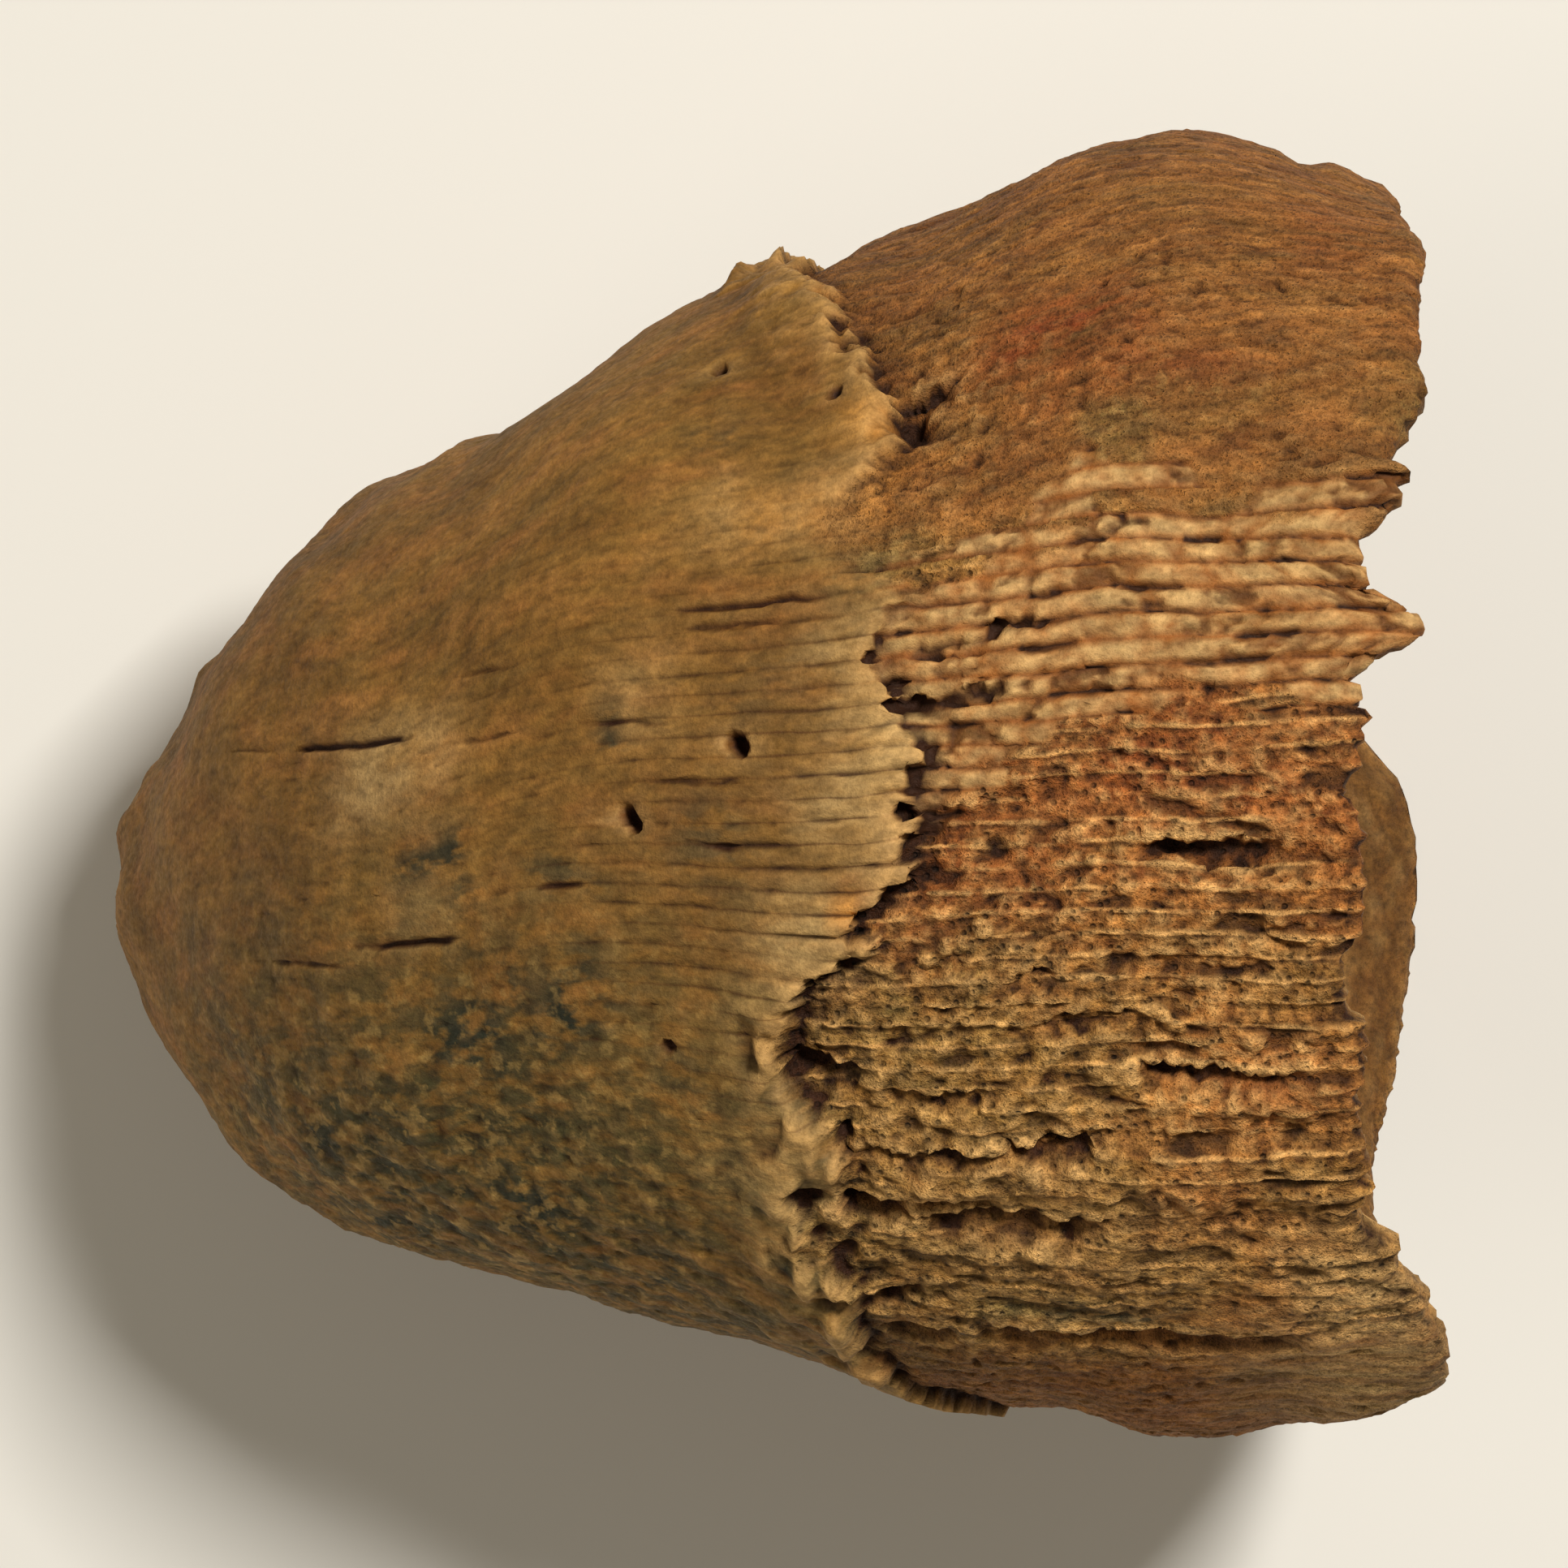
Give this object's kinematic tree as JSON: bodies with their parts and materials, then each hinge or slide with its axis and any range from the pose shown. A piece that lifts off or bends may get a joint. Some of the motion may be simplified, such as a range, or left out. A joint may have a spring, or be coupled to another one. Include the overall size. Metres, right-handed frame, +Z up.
{
  "type": "horn coral fossil",
  "caption": "Solitary horn coral fossil lying on the inside of its bend, with a blunt tip, an open cup and bare septa beyond a ragged ledge.",
  "frame": {"origin": "middle of the fossil's box at the height of the surface it lies on", "axes": "+X from the blunt tip towards the cup, the fossil's longest extent; +Z up, towards the back of the bend; +Y across"},
  "size_m": [0.0464, 0.0448, 0.038],
  "materials": {
    "fossil_stone": "matt brown-ochre fossil limestone with cream septal ridges, rust-stained pitted hollows and grey-green mottling"
  },
  "bodies": {
    "root": {"corallum": "fossil_stone"}
  },
  "joints": []
}
